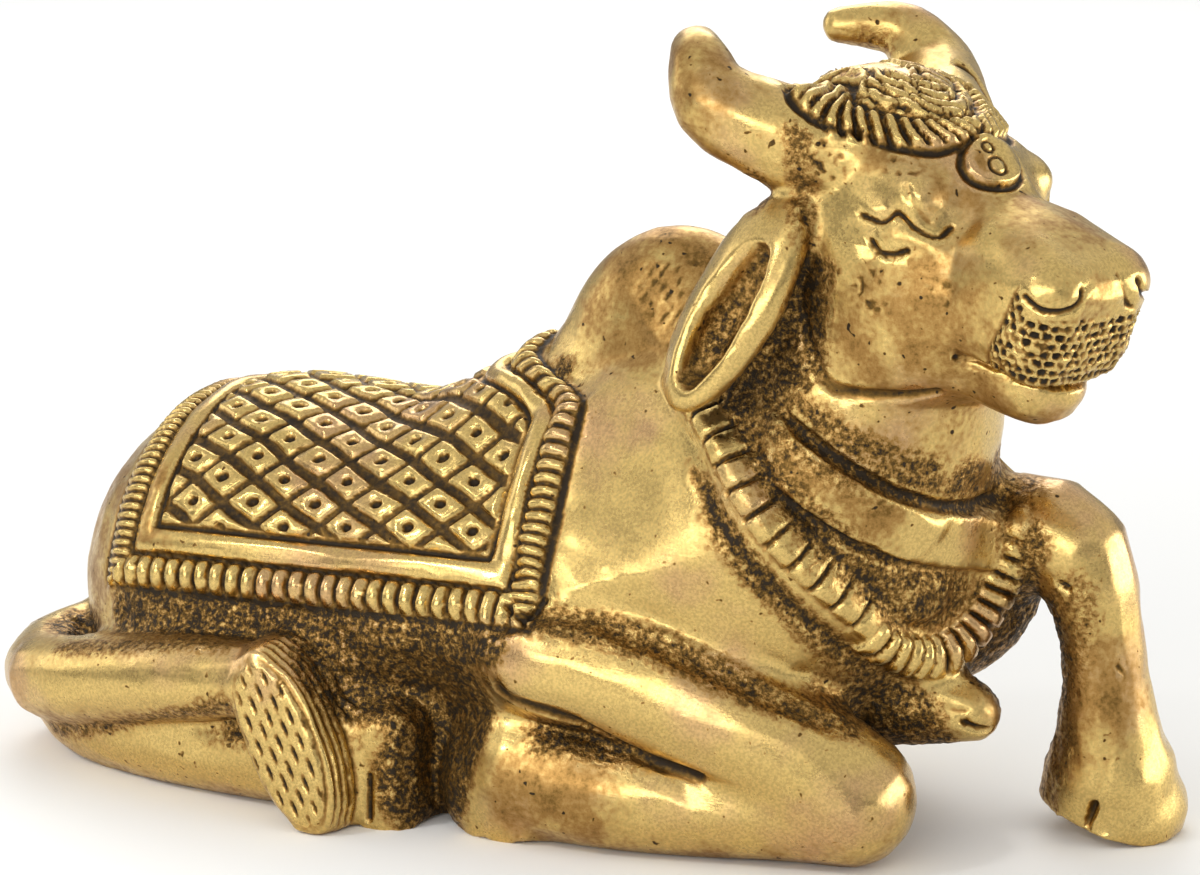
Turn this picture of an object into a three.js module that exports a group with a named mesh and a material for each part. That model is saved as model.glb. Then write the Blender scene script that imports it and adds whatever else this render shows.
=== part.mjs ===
// A reclining brass bull, cast in one piece: saddle cloth, collar strap, beaded necklace and brow ornament
// are part of the casting. Millimetres, +X towards the head, +Y to the bull's left, +Z up, z = 0 on the table.
//
// The form is a field that says how far a point lies outside the metal. Ellipsoids and tapering limbs run
// into each other with fillets, as wax does under the thumb, and the relief is laid over them.

import * as THREE from 'three';
import { surfaceNet } from 'three/addons/libs/surfaceNet.js';
import { MeshoptSimplifier } from 'three/addons/libs/meshopt_simplifier.module.js';

// Driving dimensions
const BACK_HEIGHT = 40; // table to the back, under the cloth
const FLANK = 23; // half the width of the barrel
const HEAD_AT = [35.2, -3, 64.7]; // between the eyes, inside the skull
const HEAD_TURN = { yaw: -20, pitch: 14, roll: 0 }; // degrees: to the bull's right, nose down, left side down
const CLOTH = { axis: 17, rear: -45, front: 0.6, dip: 10, hem: 1.15, strip: 2.4, fringe: 4.2, panel: 0.3, rise: 0.9, roll: 1.2 };
const COLLAR = { normal: [0.587, 0.81], low: 48.6, high: 53.6, rise: 0.9 };
const NECKLACE = [[15, 12, 48, 1.4], [21.2, 15.4, 43, 2], [27.3, 17, 35.3, 2.2], [33.4, 13, 27.6, 2.3], [37.6, 5.6, 20.9, 2.3], [38.6, 0, 19.2, 2.4]];
const HORN = [[0, 6, 6.5, 5], [-7.2, 11.2, 7.1, 5.1], [-12.8, 15.2, 8.8, 4.3], [-17.2, 14.4, 11.7, 2.9], [-21.9, 10, 11.1, 1.9]]; // the left one, from skull to tip
const NECKLACE_END = [[39.4, -1, 20, 2.2], [41.2, 2.2, 22.2, 2], [42.8, 3.8, 25.4, 1.9], [44, 4.6, 28.6, 1.6], [45.2, 5.8, 31.6, 1.1]]; // up the left shoulder

// How the skin is found
const BOX = { low: [-68, -36, -2], high: [70, 32, 92] }; // room round the whole bull
const CELL = 0.7; // grid step
const BLOCK = 6; // grid steps in a block
const TRIANGLES = 9600;

const rad = THREE.MathUtils.degToRad;

// The fillet between two forms is about k wide
function smoothMin(a, b, k) {
  const h = Math.max(k - Math.abs(a - b), 0) / k;
  return Math.min(a, b) - h * h * k * 0.25;
}

function blend(k, ...forms) {
  return (x, y, z) => {
    let d = forms[0](x, y, z);
    for (let i = 1; i < forms.length; i++) d = smoothMin(d, forms[i](x, y, z), k);
    return d;
  };
}

function carve(k, form, tool) {
  return (x, y, z) => -smoothMin(-form(x, y, z), tool(x, y, z), k);
}

// How far a point lies beyond a plane through a point
function plane(through, normal) {
  const [a, b, c] = normal;
  const level = a * through[0] + b * through[1] + c * through[2];
  return (x, y, z) => a * x + b * y + c * z - level;
}

// A form is only measured near its own bounding ball
const NEAR = 8;
function near(centre, radius, form) {
  return (x, y, z) => {
    const gap = Math.hypot(x - centre[0], y - centre[1], z - centre[2]) - radius;
    return gap > NEAR ? gap : form(x, y, z);
  };
}

// A rotation in degrees, turned about x, then y, then z
function turned({ yaw = 0, pitch = 0, roll = 0 }) {
  return new THREE.Matrix4().makeRotationFromEuler(new THREE.Euler(rad(roll), rad(pitch), rad(yaw), 'ZYX'));
}

// form, placed at centre and turned
function placed(form, centre, angles) {
  const e = turned(angles).elements;
  const [cx, cy, cz] = centre;
  return (x, y, z) => {
    const u = x - cx, v = y - cy, w = z - cz;
    return form(
      e[0] * u + e[1] * v + e[2] * w,
      e[4] * u + e[5] * v + e[6] * w,
      e[8] * u + e[9] * v + e[10] * w
    );
  };
}

function ellipsoid(centre, radii, angles = {}) {
  const [a, b, c] = radii;
  const ball = (x, y, z) => {
    const far = Math.hypot(x / a, y / b, z / c);
    const steep = Math.hypot(x / (a * a), y / (b * b), z / (c * c));
    return steep < 1e-9 ? -Math.min(a, b, c) : far * (far - 1) / steep;
  };
  return near(centre, Math.max(a, b, c), placed(ball, centre, angles));
}

// A tapering limb through stations [x, y, z, radius]
function limb(stations, steps = 14) {
  const curve = new THREE.CatmullRomCurve3(stations.map((s) => new THREE.Vector3(s[0], s[1], s[2])), false, 'centripetal');
  const count = stations.length - 1;
  const knots = [];
  for (let i = 0; i <= steps; i++) {
    const t = i / steps, at = curve.getPoint(t), n = Math.min(Math.floor(t * count), count - 1), f = t * count - n;
    knots.push([at.x, at.y, at.z, stations[n][3] * (1 - f) + stations[n + 1][3] * f]);
  }
  const box = new THREE.Box3().setFromPoints(knots.map((k) => new THREE.Vector3(k[0], k[1], k[2])));
  const middle = box.getCenter(new THREE.Vector3());
  const reach = Math.max(...knots.map((k) => middle.distanceTo(new THREE.Vector3(k[0], k[1], k[2])) + k[3]));
  const tube = (x, y, z) => {
    let best = Infinity;
    for (let i = 0; i < steps; i++) {
      const p = knots[i], q = knots[i + 1];
      const dx = q[0] - p[0], dy = q[1] - p[1], dz = q[2] - p[2];
      const ux = x - p[0], uy = y - p[1], uz = z - p[2];
      const t = Math.min(Math.max((ux * dx + uy * dy + uz * dz) / (dx * dx + dy * dy + dz * dz), 0), 1);
      const d = Math.hypot(ux - t * dx, uy - t * dy, uz - t * dz) - (p[3] + t * (q[3] - p[3]));
      if (d < best) best = d;
    }
    return best;
  };
  return near(middle.toArray(), reach, tube);
}

// Both sides of a form given on the bull's left, y > 0
const bothSides = (form) => (x, y, z) => form(x, Math.abs(y), z);

// Trunk: rump, barrel, chest, hump and neck
function trunk() {
  const torso = blend(9,
    ellipsoid([-38, 0, 18], [22, FLANK - 1, BACK_HEIGHT - 18.5]),
    ellipsoid([-12, 0, 17], [34, FLANK, BACK_HEIGHT - 17]),
    ellipsoid([20, 0, 27], [20, 17, 18]),
    ellipsoid([32, 9.6, 25], [13.4, 9, 11]),
    ellipsoid([9, 0, 45], [13, 8.5, 16], { pitch: 8 }),
    ellipsoid([-5, 0, 35.6], [9.5, 9, 8.6]),
    limb([[20, 0, 34, 16.5], [30.5, -1, 45, 14.2], [32.5, -2, 56, 11.5]])
  );
  const flank = carve(3, torso, ellipsoid([-9, -29.5, 8], [11, 11.5, 13]));
  const plain = blend(4, flank, bothSides(shoulder()));
  const dressed = (x, y, z) => plain(x, y, z) - clothRise(x, y, z) - collarRise(x, y, z);
  return blend(0.8, dressed, bothSides(limb(NECKLACE)));
}

const stepUp = (value, edge, width) => THREE.MathUtils.smoothstep(value, edge - width / 2, edge + width / 2);

// The saddle cloth: a panel, a plain strip round it and a rolled fringe outside the strip.
// It is laid out on the back by x and by the angle down from the ridge of the back.
function clothRise(x, y, z) {
  if (x < CLOTH.rear - 8 || x > CLOTH.front + 8 || z < CLOTH.axis) return 0;
  const down = Math.atan2(Math.abs(y), z - CLOTH.axis);
  const round = Math.hypot(y, z - CLOTH.axis);
  const front = CLOTH.front - CLOTH.dip * (1 - stepUp(down, 0.28, 0.35));
  const hem = (CLOTH.hem - 0.0012 * x - down) * round;
  const inside = Math.min(front - x, x - CLOTH.rear, hem);
  const across = ((2 * inside) / CLOTH.fringe + 1) / 1.2;
  const roll = Math.abs(across) < 1 ? CLOTH.roll * (1 - across * across) : 0;
  const strip = CLOTH.rise * stepUp(inside, 0, 0.8);
  return Math.max(roll, strip - (CLOTH.rise - CLOTH.panel) * stepUp(inside, CLOTH.strip, 0.8));
}

// The collar strap lies between two planes across the neck
function collarRise(x, y, z) {
  if (x < 20) return 0;
  const along = COLLAR.normal[0] * x + COLLAR.normal[1] * z;
  return COLLAR.rise * stepUp(along, COLLAR.low, 0.8) * (1 - stepUp(along, COLLAR.high, 0.8)) * stepUp(x, 28, 5);
}

// The shoulder blade was filed flat above and below a level ridge
function shoulder() {
  const ridge = [15, 20, 29.5];
  const blade = ellipsoid([14, 6, 30], [19, 17, 17]);
  const above = plane(ridge, [-0.012, 0.88, 0.475]);
  const below = plane(ridge, [0.265, 0.9, -0.349]);
  return (x, y, z) => Math.max(blade(x, y, z), above(x, y, z), below(x, y, z));
}

// Head, in its own frame: x along the muzzle, z up, origin inside the skull
function head() {
  const skull = blend(5,
    ellipsoid([-1.5, 0, 0.5], [11.5, 11, 12]),
    ellipsoid([3.5, 0, 4], [9.5, 9, 8]),
    limb([[2, 0, -0.5, 9.6], [12, 0, -0.4, 8], [19, 0, 0, 6.8]]),
    bothSides(ellipsoid([5, 5.6, -6.4], [11, 6.2, 10])),
    limb([[4, 0, -9, 7], [15, 0, -8, 5.2], [22, 0, -9.4, 3.2]])
  );
  const muzzle = roundedBox([21, 0, -0.3], [7, 7.4, 6.7], 4, { pitch: 7 });
  const lowerLip = ellipsoid([21.2, 0, -9.4], [5.4, 4.5, 3.1], { pitch: -12 });
  const eyes = bothSides(ellipsoid([8.2, 8.3, 2.6], [3.4, 2.2, 2.2]));
  const brows = bothSides(ellipsoid([7.4, 6.8, 6.6], [4.6, 3, 2.4], { pitch: 10 }));
  const nostrils = bothSides(ellipsoid([24.2, 4.6, 2.8], [3.6, 3.2, 2.8]));
  const face = blend(1.6, blend(3, skull, muzzle), lowerLip, eyes, brows, nostrils);
  const mouth = (x, y, z) => Math.max(Math.abs(z + 7 + 0.04 * (x - 20)) - 0.5, 17 - x, -0.8 - face(x, y, z));
  const horns = bothSides(limb(HORN));
  const ears = bothSides(ear());
  const hair = ellipsoid([-3.4, 0, 8.4], [8.6, 9.4, 5.6]);
  const ornament = ellipsoid([9, 0, 9.6], [3.4, 3, 1.6], { pitch: 30 });
  return blend(2, blend(1.2, carve(0.8, face, mouth), horns, hair, ornament), ears);
}

// The left ear: a drooping leaf, hollowed on its outer face
function ear() {
  const angles = { roll: 24, yaw: 15 };
  const leaf = ellipsoid([-3.6, 17, -8.6], [6.2, 3, 12.2], angles);
  const hollow = ellipsoid([-2.8, 20, -9], [2.9, 3.4, 8], angles);
  const behind = ellipsoid([-5, 11.5, -8.5], [4, 4.5, 8]);
  return blend(3, carve(1, leaf, hollow), behind);
}

// A box with rounded corners; half is half its size each way
function roundedBox(centre, half, round, angles = {}) {
  const box = (x, y, z) => {
    const u = Math.abs(x) - half[0] + round, v = Math.abs(y) - half[1] + round, w = Math.abs(z) - half[2] + round;
    return Math.hypot(Math.max(u, 0), Math.max(v, 0), Math.max(w, 0)) + Math.min(Math.max(u, v, w), 0) - round;
  };
  return near(centre, Math.hypot(...half), placed(box, centre, angles));
}

function legs() {
  const foreRight = blend(1.2,
    limb([[-3, -16, 23, 6], [4, -19.5, 19.5, 6.2], [12, -18.8, 18.3, 6.2], [22, -16.3, 14.6, 6.4], [30, -13.5, 10.6, 6.8], [34.5, -12, 7, 6.8]]),
    limb([[34.5, -12, 6.6, 6.4], [22, -15.4, 5.6, 5.6], [10, -18.2, 6, 6], [2, -18, 6.8, 6.8]]),
    ellipsoid([-1, -17.6, 4.6], [7.5, 5.6, 7.5], { pitch: -20 })
  );
  const standing = limb([[30, 9, 27, 9], [41, 9, 30, 6.4], [49.3, 8.5, 30.4, 5.6], [52.8, 8.8, 22, 4.3], [53.4, 9.2, 16, 4.4], [53.6, 10, 9.5, 5.6], [53.4, 11.5, 3, 7.8]]);
  // The bull stands on the toe of this hoof, and its heel is lifted
  const foreLeft = carve(0.8, standing, plane([50, 21, 0], [0.29, 0.155, 0.94]));
  const smallHoof = limb([[28, 0, 15, 6.5], [36, 0, 14.6, 5], [42.6, 0, 13.8, 3]]);
  const shank = limb([[-60, -9, 5, 5.4], [-53, -15, 5, 5.6], [-40, -18.6, 5, 5.6], [-26, -20, 6, 6]]);
  const hindFoot = roundedBox([-15.5, -18, 5], [6, 6.6, 8], 3.5);
  const tail = limb([[-50, 3, 30, 2.6], [-55.4, 3, 21, 3.4], [-58, -1, 12, 3.8], [-61.3, -11, 8.8, 4.6], [-57, -18.6, 9, 4.6], [-46, -22.4, 11.2, 4.6], [-34, -25, 13.4, 4.4], [-25, -26, 14.6, 3.6]]);
  const leaf = ellipsoid([-21.2, -25, 9.2], [4.9, 14, 10.6], { pitch: -24 });
  const tuft = (x, y, z) => -smoothMin(-leaf(x, y, z), 4.6 - Math.abs(y + 25.4), 1.6);
  const hindLeft = limb([[-58, 8, 8, 6.5], [-48, 17, 7.5, 7.5], [-28, 20.5, 7.5, 7.5], [-12, 20, 7, 7]]);
  const foreLeftRest = ellipsoid([8, 16, 14], [22, 9, 14]);
  return blend(1.5, foreRight, foreLeft, smallHoof, shank, hindFoot, tail, tuft, hindLeft, foreLeftRest);
}

const bull = (() => {
  const body = blend(2.5, trunk(), legs(), placed(head(), HEAD_AT, HEAD_TURN));
  const hung = blend(0.8, body, limb(NECKLACE_END));
  return (x, y, z) => Math.max(hung(x, y, z), -z);
})();

// The field is measured finely only in those blocks of the grid that the surface passes through
function sampled(form, low, high, cell) {
  const dims = low.map((v, i) => Math.ceil((high[i] - v) / cell) + 1);
  const [nx, ny, nz] = dims;
  const at = (axis, step) => low[axis] + step * cell;
  const values = new Float32Array(nx * ny * nz);
  const half = BLOCK / 2;
  for (let k = 0; k < nz; k += BLOCK) for (let j = 0; j < ny; j += BLOCK) for (let i = 0; i < nx; i += BLOCK) {
    const middle = form(at(0, i + half), at(1, j + half), at(2, k + half));
    const far = Math.abs(middle) > BLOCK * cell * 1.2;
    for (let c = k; c < Math.min(k + BLOCK, nz); c++) for (let b = j; b < Math.min(j + BLOCK, ny); b++) {
      for (let a = i; a < Math.min(i + BLOCK, nx); a++) {
        values[a + nx * (b + ny * c)] = far ? middle : form(at(0, a), at(1, b), at(2, c));
      }
    }
  }
  return { dims, value: (a, b, c) => values[a + nx * (b + ny * c)] };
}

// The skin of a form, as shared points and triangles
function skin(form, low, high, cell) {
  const grid = sampled(form, low, high, cell);
  const net = surfaceNet(grid.dims, grid.value, [[0, 0, 0], grid.dims]);
  const positions = new Float32Array(net.positions.flat().map((v, i) => low[i % 3] + v * cell));
  return { positions, index: new Uint32Array(net.cells.flat()) };
}

const fine = skin(bull, BOX.low, BOX.high, CELL);
await MeshoptSimplifier.ready;
const [index] = MeshoptSimplifier.simplify(fine.index, fine.positions, 3, TRIANGLES * 3, 0.05);
const geometry = new THREE.BufferGeometry();
geometry.setAttribute('position', new THREE.BufferAttribute(fine.positions, 3));
geometry.setIndex(new THREE.BufferAttribute(index, 1));

const brass = new THREE.MeshStandardMaterial({ color: 0xb08d45, metalness: 1, roughness: 0.35 });
const casting = new THREE.Mesh(geometry, brass);
casting.name = 'bull_casting';
const figurine = new THREE.Group();
figurine.add(casting);
export default figurine;
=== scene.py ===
# %% [markdown]
# A reclining brass bull, about 129 mm long, sand cast in one piece and then filed, punched and polished by
# hand. This script dresses the plain solid of the casting. It lights it as in a small studio, makes its skin
# finer, raises the patterns that the founder punched and cut, and gives it worn brass.

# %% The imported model
import math
import bpy
import numpy as np
from mathutils import Euler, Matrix, Vector, kdtree, noise
from mathutils.bvhtree import BVHTree


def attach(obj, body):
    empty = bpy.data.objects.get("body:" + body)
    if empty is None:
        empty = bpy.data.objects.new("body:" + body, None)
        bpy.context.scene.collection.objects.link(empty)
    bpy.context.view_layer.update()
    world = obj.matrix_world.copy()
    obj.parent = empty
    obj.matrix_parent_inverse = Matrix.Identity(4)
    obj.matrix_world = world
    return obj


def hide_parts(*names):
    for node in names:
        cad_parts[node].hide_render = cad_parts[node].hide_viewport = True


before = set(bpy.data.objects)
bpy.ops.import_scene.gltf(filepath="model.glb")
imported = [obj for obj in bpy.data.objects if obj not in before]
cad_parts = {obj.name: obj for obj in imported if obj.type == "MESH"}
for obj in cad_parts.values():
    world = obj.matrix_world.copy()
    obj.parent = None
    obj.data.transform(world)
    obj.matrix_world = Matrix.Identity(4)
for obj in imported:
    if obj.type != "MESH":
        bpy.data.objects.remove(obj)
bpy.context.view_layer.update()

MM = 0.001
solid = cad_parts["bull_casting"]

# %% [markdown]
# The picture was taken from the bull's right side, a little in front and a little above, with a long lens. A
# long lens keeps the near knee from growing against the far hoof, so the camera stands well back and its
# focal length does the framing.

# %% Camera
SIGHT = Vector((0, 0, 37.7)) * MM
DISTANCE = 500 * MM
AZIMUTH = math.radians(28)
ELEVATION = math.radians(13)

camera_data = bpy.data.cameras.new("camera")
camera_data.lens = 144
camera = bpy.data.objects.new("camera", camera_data)
bpy.context.scene.collection.objects.link(camera)
level = math.cos(ELEVATION)
gaze = Vector((-math.sin(AZIMUTH) * level, math.cos(AZIMUTH) * level, -math.sin(ELEVATION)))
camera.location = SIGHT - gaze * DISTANCE
camera.rotation_euler = gaze.to_track_quat("-Z", "Y").to_euler()
bpy.context.scene.camera = camera
bpy.context.scene.view_settings.view_transform = "Standard"

# %% [markdown]
# Brass shows what it reflects. The room gives an even light from all sides, and that makes the metal's
# middle tones. The key panel stands to the left of the camera and a little above it and draws the bright
# bands on the shoulder and the forearm. A long low panel on the right lights the collar and the front of
# the standing leg. The panel behind and the wide ceiling light make the paper white.

# %% Colours, nodes and the floor
def linear(code):
    """An sRGB hex colour as the linear colour that Blender's sockets hold."""
    parts = [int(code[i:i + 2], 16) / 255 for i in (1, 3, 5)]
    return [p / 12.92 if p <= 0.04045 else ((p + 0.055) / 1.055) ** 2.4 for p in parts] + [1]


def add_node(material, kind, inputs=None, **settings):
    """One node with its settings. An input is a value, or the output socket that feeds it."""
    node = material.node_tree.nodes.new(kind)
    for name, value in settings.items():
        setattr(node, name, value)
    for name, value in (inputs or {}).items():
        if isinstance(value, bpy.types.NodeSocket):
            material.node_tree.links.new(value, node.inputs[name])
        else:
            node.inputs[name].default_value = value
    return node


def new_material(name):
    """A material with no nodes yet."""
    material = bpy.data.materials.new(name)
    material.use_nodes = True
    material.node_tree.nodes.clear()
    return material


bpy.ops.object.select_all(action="DESELECT")
bpy.ops.mesh.primitive_plane_add(size=6, location=(0, 0, -0.05 * MM))
floor = bpy.context.object
floor.name = "floor"
# White cartridge paper, rolled: matt, so it shows soft shadows and no reflection.
paper = new_material("white_paper")
matt = add_node(paper, "ShaderNodeBsdfPrincipled", {"Base Color": linear("#F4F4F2"), "Roughness": 0.9})
add_node(paper, "ShaderNodeOutputMaterial", {"Surface": matt.outputs[0]})
floor.data.materials.append(paper)

# %% Soft light
PANELS = {  # place, width and height in millimetres, and watts
    "key_panel": ((-20, -600, 210), 600, 180, 1.4),
    "right_panel": ((530, 270, 70), 600, 180, 1.55),
    "left_panel": ((-560, -60, 200), 300, 260, 0.35),
    "background_panel": ((-260, 460, 420), 400, 400, 1.3),
}
CEILING_LIGHT = 1.1  # watts per square metre
CEILING_WIDTH = math.radians(140)
ROOM_LIGHT = 0.42
for name, (place, width, tall, watts) in PANELS.items():
    data = bpy.data.lights.new(name, "AREA")
    data.shape = "RECTANGLE"
    data.size = width * MM
    data.size_y = tall * MM
    data.energy = watts
    lamp = bpy.data.objects.new(name, data)
    lamp.location = Vector(place) * MM
    lamp.rotation_euler = (SIGHT - lamp.location).to_track_quat("-Z", "Y").to_euler()
    bpy.context.scene.collection.objects.link(lamp)
# A lamp on the paper in front of the tail end. Its light comes back up from the paper.
PAPER_LAMP_AT, PAPER_LAMP_AIM = Vector((-330, -520, 520)) * MM, Vector((-50, -150, 0)) * MM
lamp_data = bpy.data.lights.new("paper_lamp", "SPOT")
lamp_data.energy = 11
lamp_data.spot_size = math.radians(24)
lamp_data.spot_blend = 1
lamp_data.shadow_soft_size = 60 * MM
paper_lamp = bpy.data.objects.new("paper_lamp", lamp_data)
paper_lamp.location = PAPER_LAMP_AT
paper_lamp.rotation_euler = (PAPER_LAMP_AIM - PAPER_LAMP_AT).to_track_quat("-Z", "Y").to_euler()
bpy.context.scene.collection.objects.link(paper_lamp)
ceiling_data = bpy.data.lights.new("ceiling", "SUN")
ceiling_data.energy = CEILING_LIGHT
ceiling_data.angle = CEILING_WIDTH
ceiling = bpy.data.objects.new("ceiling", ceiling_data)
bpy.context.scene.collection.objects.link(ceiling)
room = bpy.data.worlds.new("room")
room.use_nodes = True
room.node_tree.nodes["Background"].inputs["Color"].default_value = linear("#FFFFFF")
room.node_tree.nodes["Background"].inputs["Strength"].default_value = ROOM_LIGHT
bpy.context.scene.world = room

# %% [markdown]
# The casting is one piece, so its visible skin is one mesh. It starts as a copy of the solid. A subdivision
# rounds the flat facets, and a voxel remesh lays an even net of small faces over the whole form. An even net
# can then carry any pattern, without thought for how the solid's own triangles ran.

# %% The skin of the casting
NET = 0.28 * MM


def apply_modifier(obj, name, kind, **settings):
    """Adds a modifier to an object and applies it."""
    modifier = obj.modifiers.new(name, kind)
    for key, value in settings.items():
        setattr(modifier, key, value)
    bpy.ops.object.select_all(action="DESELECT")
    bpy.context.view_layer.objects.active = obj
    obj.select_set(True)
    bpy.ops.object.modifier_apply(modifier=name)


def read_points(obj):
    """The mesh's points in millimetres, one row each."""
    flat = np.empty(len(obj.data.vertices) * 3)
    obj.data.vertices.foreach_get("co", flat)
    return flat.reshape(-1, 3) / MM


def write_points(obj, points):
    """Puts points in millimetres back into the mesh."""
    obj.data.vertices.foreach_set("co", (points * MM).ravel())
    obj.data.update()


bull = bpy.data.objects.new("brass_bull", solid.data.copy())
bpy.context.scene.collection.objects.link(bull)
bpy.ops.object.select_all(action="DESELECT")
bpy.context.view_layer.objects.active = bull
bull.select_set(True)
bpy.ops.object.mode_set(mode="EDIT")
bpy.ops.mesh.select_all(action="SELECT")
bpy.ops.mesh.remove_doubles(threshold=0.001 * MM)
bpy.ops.object.mode_set(mode="OBJECT")

solid_points = [v.co.copy() for v in bull.data.vertices]
solid_normals = [v.normal.copy() for v in bull.data.vertices]
solid_faces = [[*f.vertices] for f in bull.data.polygons]

# The subdivision draws in from its cage, so the cage is let out until the round skin meets the solid's
# points.
rounding = bull.modifiers.new("Round", "SUBSURF")
rounding.levels = rounding.render_levels = 2
target = read_points(bull)
for turn in range(3):
    rounded = read_points(bull.evaluated_get(bpy.context.evaluated_depsgraph_get()))[:len(target)]
    write_points(bull, read_points(bull) + target - rounded)
    print("cage let out by up to", round(np.abs(target - rounded).max(), 2), "mm")
bpy.ops.object.modifier_apply(modifier="Round")
apply_modifier(bull, "Net", "REMESH", mode="VOXEL", voxel_size=NET)
print("skin:", len(bull.data.vertices), "points")

# %% [markdown]
# The solid's facets still show on the net as faint planes. They wear off when each point moves half way to
# the middle of its neighbours, over and over. That alone would also shrink whatever is thin, such as the
# horns and the ears. So each such step is followed by a slightly longer step the other way, which brings
# the form back but leaves the small ripples flat.

# %% Wearing off the facets
EASE_IN, EASE_OUT, EASE_TURNS = 0.5, 0.515, 60

points = read_points(bull)
flat_pairs = np.empty(len(bull.data.edges) * 2, np.int32)
bull.data.edges.foreach_get("vertices", flat_pairs)
pairs = flat_pairs.reshape(-1, 2)
neighbours = np.bincount(flat_pairs, minlength=len(points)).astype(float)


def neighbour_mean(values):
    """The average of each point's neighbours."""
    total = np.zeros_like(values)
    for axis in range(values.shape[1]):
        column = values[:, axis]
        total[:, axis] = np.bincount(pairs[:, 0], column[pairs[:, 1]], len(values))
        total[:, axis] += np.bincount(pairs[:, 1], column[pairs[:, 0]], len(values))
    return total / neighbours[:, None]


for turn in range(EASE_TURNS):
    points += EASE_IN * (neighbour_mean(points) - points)
    points -= EASE_OUT * (neighbour_mean(points) - points)
write_points(bull, points)

# %% [markdown]
# The patterns were pressed and cut into the founder's wax or cleaned up on the metal with punches and small
# chisels. On a net this fine each of them can be a height in millimetres, added along the skin's normals.
# That is how a sculptor's displacement works, but written down as sizes: a pitch, a width and a depth.
# Every cut also notes the dirt that has settled in it, for the metal's colour later.

# %% Reading the skin
flat_normals = np.empty(len(points) * 3)
bull.data.vertices.foreach_get("normal", flat_normals)
normals = flat_normals.reshape(-1, 3)
x, y, z = points.T
side = np.abs(y)
folded = np.column_stack([x, side, z])
height = np.zeros(len(points))
dirt_and_shade = np.zeros(len(points))
rough = np.zeros(len(points))


def step_up(value, edge, width):
    """0 below the edge, 1 above it, with a soft step of that width."""
    t = np.clip((value - edge) / width + 0.5, 0, 1)
    return t * t * (3 - 2 * t)


def band(value, low, high, soft):
    """1 between low and high, 0 outside, with soft edges."""
    return step_up(value, low, soft) * (1 - step_up(value, high, soft))


def line(distance, width):
    """1 on a line and 0 from its edge on; the section is a round-bottomed V."""
    return np.clip(1 - (2 * distance / width) ** 2, 0, 1)


def to_line(value, pitch):
    """How far a value is from the nearest of the lines that repeat at a pitch."""
    return np.abs(value - np.round(value / pitch) * pitch)


def cloud(where, size, seed=0):
    """Smooth noise from -1 to 1 with lumps of about that size, at each row of where."""
    shifted = where / size + 17.3 * seed
    return np.array([noise.noise(row) for row in shifted])


def cut(shape, depth, soiled=0.0):
    """Sinks the skin by a depth where shape is 1, and notes how soiled the cut is, from 0 to 1."""
    height[:] -= depth * shape
    np.maximum(dirt_and_shade, soiled * shape, out=dirt_and_shade)


wobble = 0.35 * cloud(points, 6.0)
print("points on the skin:", len(points))

# %% [markdown]
# A polishing wheel can't reach under the cloth's hem or between the legs. There the metal keeps the sandy
# skin that it was cast with, and dirt. To find these places, rays go out from each point of the solid: the
# sooner they meet more metal, the more sheltered the point is. The solid has few points, so this takes a
# moment, and the fine net takes the value from its nearest solid points.

# %% Sheltered places
REACH = 20
DIRECTIONS = 70
steps = np.arange(DIRECTIONS) + 0.5
polar = np.arccos(1 - 2 * steps / DIRECTIONS)
golden = math.pi * (1 + 5 ** 0.5) * steps
rays = np.column_stack([np.cos(golden) * np.sin(polar), np.sin(golden) * np.sin(polar), np.cos(polar)])
tree = BVHTree.FromPolygons([v / MM for v in solid_points], solid_faces)
solid_shelter = []
for place, normal in zip(solid_points, solid_normals):
    start = place / MM + normal * 0.3
    facing = rays @ np.array(normal)
    total, blocked = 0, 0
    for ray, cosine in zip(rays, facing):
        if cosine > 0.1:
            total += cosine
            distance = tree.ray_cast(start, Vector(ray), REACH)[3]
            if distance is not None:
                blocked += cosine * (1 - distance / REACH) ** 0.5
    solid_shelter.append(blocked / total)
nearest = kdtree.KDTree(len(solid_points))
for number, place in enumerate(solid_points):
    nearest.insert(place / MM, number)
nearest.balance()
shelter = np.zeros(len(points))
for number, place in enumerate(points):
    found = nearest.find_n(place, 4)
    weights = [1 / (distance + 0.3) for _, _, distance in found]
    shelter[number] = sum(w * solid_shelter[i] for w, (_, i, _) in zip(weights, found)) / sum(weights)
print("shelter: middle", round(float(np.median(shelter)), 2), "most", round(float(shelter.max()), 2))

# %% [markdown]
# The saddle cloth is laid out by its distance from its own edges and by two rulers: x along the back, and the
# arc down from the ridge of the back. Working in arc length keeps the diamonds the same size where the back
# turns over into the flank. Both flanks read the same rulers, so the hidden side gets the same cloth.

# %% The cloth's rulers
CLOTH_AXIS = 17  # height of the line that the cloth wraps round
CLOTH_RADIUS = 24
CLOTH_REAR, CLOTH_FRONT, CLOTH_DIP = -45, 0.6, 10
CLOTH_HEM = 1.15  # radians down from the ridge
STRIP, FRINGE = 2.4, 4.2

down = np.arctan2(side, z - CLOTH_AXIS)
arc = down * CLOTH_RADIUS
to_front = CLOTH_FRONT - CLOTH_DIP * (1 - step_up(down, 0.28, 0.35)) - x
to_rear = x - CLOTH_REAR
to_hem = (CLOTH_HEM - 0.0012 * x - down) * np.hypot(y, z - CLOTH_AXIS)
inside = np.minimum(np.minimum(to_front, to_rear), to_hem)
on_body = step_up(z, 20, 2) * (x < 9) * (x > -52)

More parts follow.
